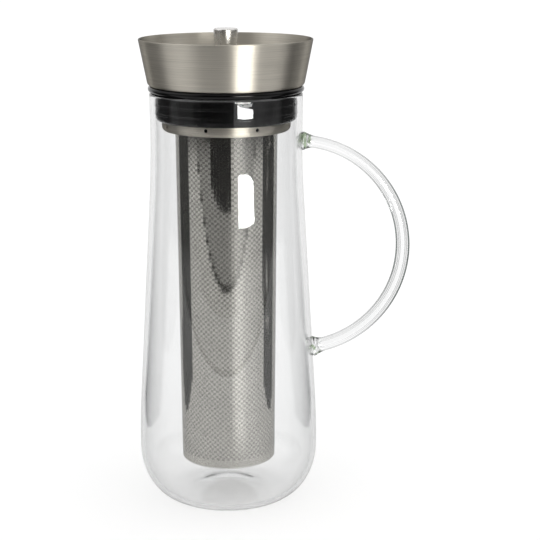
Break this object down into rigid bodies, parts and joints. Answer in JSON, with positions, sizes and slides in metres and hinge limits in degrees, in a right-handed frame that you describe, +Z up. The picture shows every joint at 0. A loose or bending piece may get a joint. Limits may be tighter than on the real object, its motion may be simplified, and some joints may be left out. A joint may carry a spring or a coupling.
{
  "type": "cold brew carafe",
  "caption": "Tall glass jug with a fused rod handle, a steel pouring funnel on a silicone seal, a lift-out stopper with a knob and a long perforated filter that hangs inside.",
  "frame": {"origin": "centre of the foot ring, on the axis of the jug and on the plane that it stands on", "axes": "+Z up along the axis of the jug, +X towards the handle, -Y towards the viewer of the picture"},
  "size_m": [0.1508, 0.1, 0.2624],
  "materials": {
    "glass": "clear blown glass",
    "brushed_steel": "brushed round the axis",
    "polished_steel": "polished",
    "filter_sheet": "polished sheet with a fine checker of perforated squares",
    "silicone": "smooth black silicone"
  },
  "bodies": {
    "carafe": {"glass_body": "glass", "glass_handle": "glass"},
    "lid": {"pour_funnel": "brushed_steel", "throat_collar": "polished_steel", "neck_seal": "silicone"},
    "filter": {"filter_hanger": "brushed_steel", "filter_screen": "filter_sheet", "filter_base": "polished_steel"},
    "stopper": {"stopper_plate": "brushed_steel", "stopper_gasket": "silicone", "clamp_disc": "polished_steel", "knob_washer": "polished_steel", "knob_screw": "polished_steel", "stopper_knob": "polished_steel"}
  },
  "joints": [
    {"name": "lid_lift", "type": "slide", "parent": "carafe", "child": "lid", "axis": [0, 0, 1], "range_m": [0, 0.25]},
    {"name": "filter_pull", "type": "slide", "parent": "lid", "child": "filter", "axis": [0, 0, -1], "range_m": [0, 0.01]},
    {"name": "stopper_lift", "type": "slide", "parent": "lid", "child": "stopper", "axis": [0, 0, 1], "range_m": [0, 0.06]}
  ]
}
